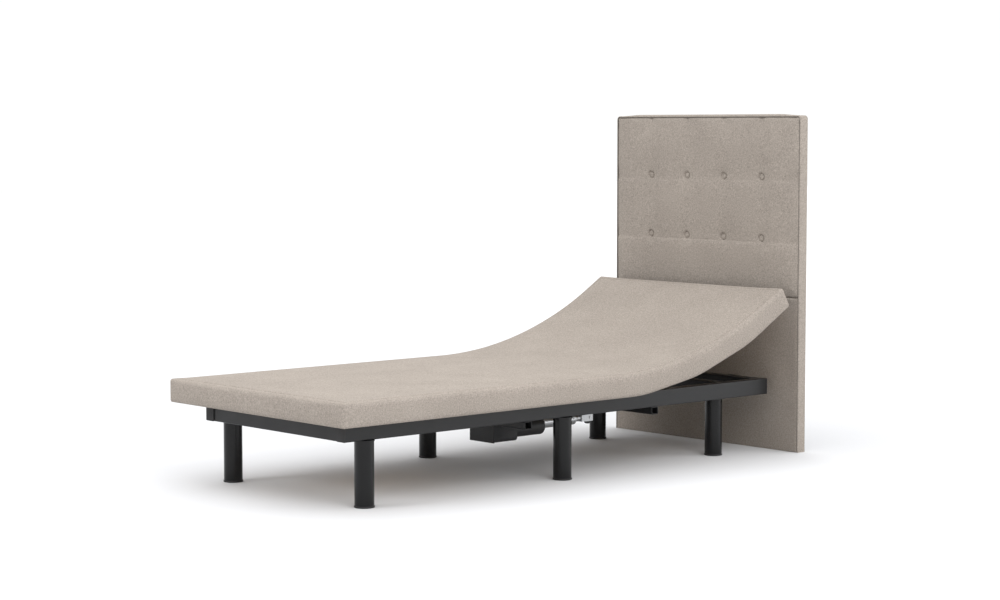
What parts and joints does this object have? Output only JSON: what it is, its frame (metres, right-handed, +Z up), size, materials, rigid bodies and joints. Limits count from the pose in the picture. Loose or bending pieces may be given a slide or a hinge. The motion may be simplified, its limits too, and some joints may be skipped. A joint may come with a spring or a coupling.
{
  "type": "adjustable bed base",
  "caption": "Upholstered adjustable bed base: hinged deck whose back curls up and leg section lifts by motors, steel chassis on round legs, buttoned headboard.",
  "frame": {"origin": "on the floor, at the middle of the bed's width and overall length", "axes": "+X across the width, +Y along the length to the headboard, +Z up"},
  "size_m": [0.9, 2.05, 1.177],
  "materials": {
    "fabric": "matt heathered beige felt-like upholstery",
    "plywood": "bare birch plywood",
    "black_steel": "satin black powder coat",
    "zinc_steel": "bright zinc plating",
    "black_plastic": "fine textured moulding",
    "nylon": "natural nylon",
    "tube_aluminium": "drawn satin",
    "lead_rubber": "matt cable sheath"
  },
  "bodies": {
    "chassis": {"side_rail_left": "black_steel", "side_rail_right": "black_steel", "head_rail": "black_steel", "foot_rail": "black_steel", "head_crossmember": "black_steel", "mid_crossmember": "black_steel", "motor_crossbars": "black_steel", "rail_end_caps": "black_plastic", "leg_head_left": "black_steel", "leg_head_right": "black_steel", "leg_mid_left": "black_steel", "leg_mid_right": "black_steel", "leg_foot_left": "black_steel", "leg_foot_right": "black_steel", "leg_glides": "black_plastic", "seat_brackets": "black_steel", "seat_board": "plywood", "seat_pad": "fabric", "seat_hinges": "zinc_steel", "headboard_core": "plywood", "headboard_upper_pad": "fabric", "headboard_lower_pad": "fabric", "headboard_buttons": "fabric", "headboard_brackets": "black_steel", "headboard_bolts": "zinc_steel", "lift_bearings": "nylon", "back_actuator_housing": "black_plastic", "back_actuator_tube": "tube_aluminium", "leg_actuator_housing": "black_plastic", "leg_actuator_tube": "tube_aluminium", "actuator_brackets": "black_steel", "control_box": "black_plastic", "motor_leads": "lead_rubber", "foot_link_pins": "black_steel", "flex_ribs": "zinc_steel"},
    "lumbar": {"lumbar_board": "plywood", "lumbar_pad": "fabric", "lumbar_hinges": "zinc_steel"},
    "back": {"back_board": "plywood", "back_pad": "fabric", "back_hinges": "zinc_steel", "back_lift_tracks": "zinc_steel"},
    "head": {"head_board": "plywood", "head_pad": "fabric", "head_hinges": "zinc_steel"},
    "back_lift": {"back_lift_frame": "black_steel"},
    "back_rollers": {"back_lift_rollers": "nylon"},
    "back_rod": {"back_push_rod": "zinc_steel"},
    "thigh": {"thigh_board": "plywood", "thigh_pad": "fabric", "thigh_hinges": "zinc_steel", "thigh_lift_tracks": "zinc_steel"},
    "foot": {"foot_board": "plywood", "foot_pad": "fabric", "foot_hinges": "zinc_steel", "foot_link_brackets": "black_steel"},
    "links": {"foot_links": "black_steel"},
    "leg_lift": {"leg_lift_frame": "black_steel"},
    "leg_rollers": {"leg_lift_rollers": "nylon"},
    "leg_rod": {"leg_push_rod": "zinc_steel"}
  },
  "joints": [
    {"name": "back_raise", "type": "hinge", "parent": "chassis", "child": "lumbar", "pos_m": [0, 0.219, 0.282], "axis": [1, 0, 0], "range_deg": [-10, 10], "deforming": ["flex_ribs"]},
    {"name": "back_tilt", "type": "hinge", "parent": "lumbar", "child": "back", "pos_m": [0, 0.47702, 0.3275], "axis": [1, 0, 0], "range_deg": [-10, 10]},
    {"name": "head_tilt", "type": "hinge", "parent": "back", "child": "head", "pos_m": [0, 0.72322, 0.41711], "axis": [1, 0, 0], "range_deg": [-10, 10]},
    {"name": "back_lift_turn", "type": "hinge", "parent": "chassis", "child": "back_lift", "pos_m": [0, 0.31, 0.23], "axis": [1, 0, 0], "range_deg": [-15.71, 15.71]},
    {"name": "back_roller_spin", "type": "hinge", "parent": "back_lift", "child": "back_rollers", "pos_m": [0, 0.58735, 0.31471], "axis": [1, 0, 0], "range_deg": [-55, 55]},
    {"name": "back_rod_slide", "type": "slide", "parent": "chassis", "child": "back_rod", "axis": [0, 1, 0], "range_m": [-0.0225, 0.0225]},
    {"name": "leg_raise", "type": "hinge", "parent": "chassis", "child": "thigh", "pos_m": [0, -0.037, 0.282], "axis": [-1, 0, 0], "range_deg": [0, 35]},
    {"name": "knee_bend", "type": "hinge", "parent": "thigh", "child": "foot", "pos_m": [0, -0.405, 0.282], "axis": [1, 0, 0], "range_deg": [0, 35]},
    {"name": "foot_link_turn", "type": "hinge", "parent": "chassis", "child": "links", "pos_m": [0, -0.187, 0.237], "axis": [-1, 0, 0], "range_deg": [0, 35]},
    {"name": "leg_lift_turn", "type": "hinge", "parent": "chassis", "child": "leg_lift", "pos_m": [0, -0.137, 0.23], "axis": [-1, 0, 0], "range_deg": [0, 48.22]},
    {"name": "leg_roller_spin", "type": "hinge", "parent": "leg_lift", "child": "leg_rollers", "pos_m": [0, -0.3469, 0.2365], "axis": [1, 0, 0], "range_deg": [0, 171]},
    {"name": "leg_rod_slide", "type": "slide", "parent": "chassis", "child": "leg_rod", "axis": [0, -1, 0], "range_m": [0, 0.0717]}
  ],
  "couplings": [
    {"joint": "back_tilt", "follows": "back_raise", "ratio": 1},
    {"joint": "head_tilt", "follows": "back_raise", "ratio": 1},
    {"joint": "back_lift_turn", "follows": "back_raise", "ratio": 1.57},
    {"joint": "back_roller_spin", "follows": "back_raise", "ratio": -5.47},
    {"joint": "back_rod_slide", "follows": "back_raise", "m_per_rad": 0.12887},
    {"joint": "knee_bend", "follows": "leg_raise", "ratio": 1},
    {"joint": "foot_link_turn", "follows": "leg_raise", "ratio": 1},
    {"joint": "leg_lift_turn", "follows": "leg_raise", "ratio": 1.3775},
    {"joint": "leg_roller_spin", "follows": "leg_raise", "ratio": 4.88},
    {"joint": "leg_rod_slide", "follows": "leg_raise", "m_per_rad": 0.11722}
  ]
}
